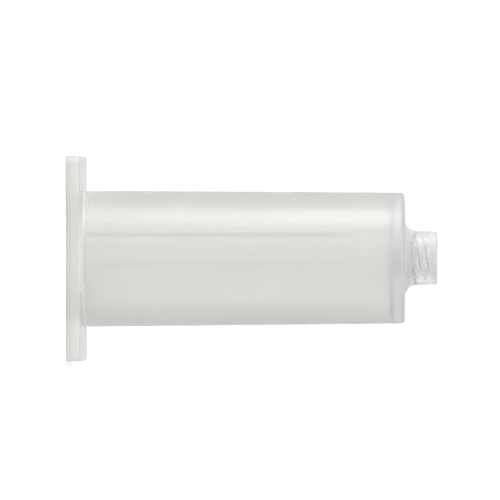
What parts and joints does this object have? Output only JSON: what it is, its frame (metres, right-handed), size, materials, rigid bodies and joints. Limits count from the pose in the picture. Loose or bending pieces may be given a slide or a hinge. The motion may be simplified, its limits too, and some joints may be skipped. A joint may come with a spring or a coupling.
{
  "type": "blood tube holder",
  "caption": "Clear moulded holder for blood collection tubes: thin tapered barrel, finger flange at the open end and threaded needle hub on the nose.",
  "frame": {"origin": "centre of the flange's open face, on which the holder stands", "axes": "+Z along the barrel towards the nose and hub, X along the flange's long side, Y along its short side"},
  "size_m": [0.0308, 0.024, 0.0552],
  "materials": {
    "clear_polypropylene": "natural clarified polypropylene, milky on the barrel and clearer at the nose, hub and flange"
  },
  "bodies": {
    "root": {"tube_holder": "clear_polypropylene"}
  },
  "joints": []
}
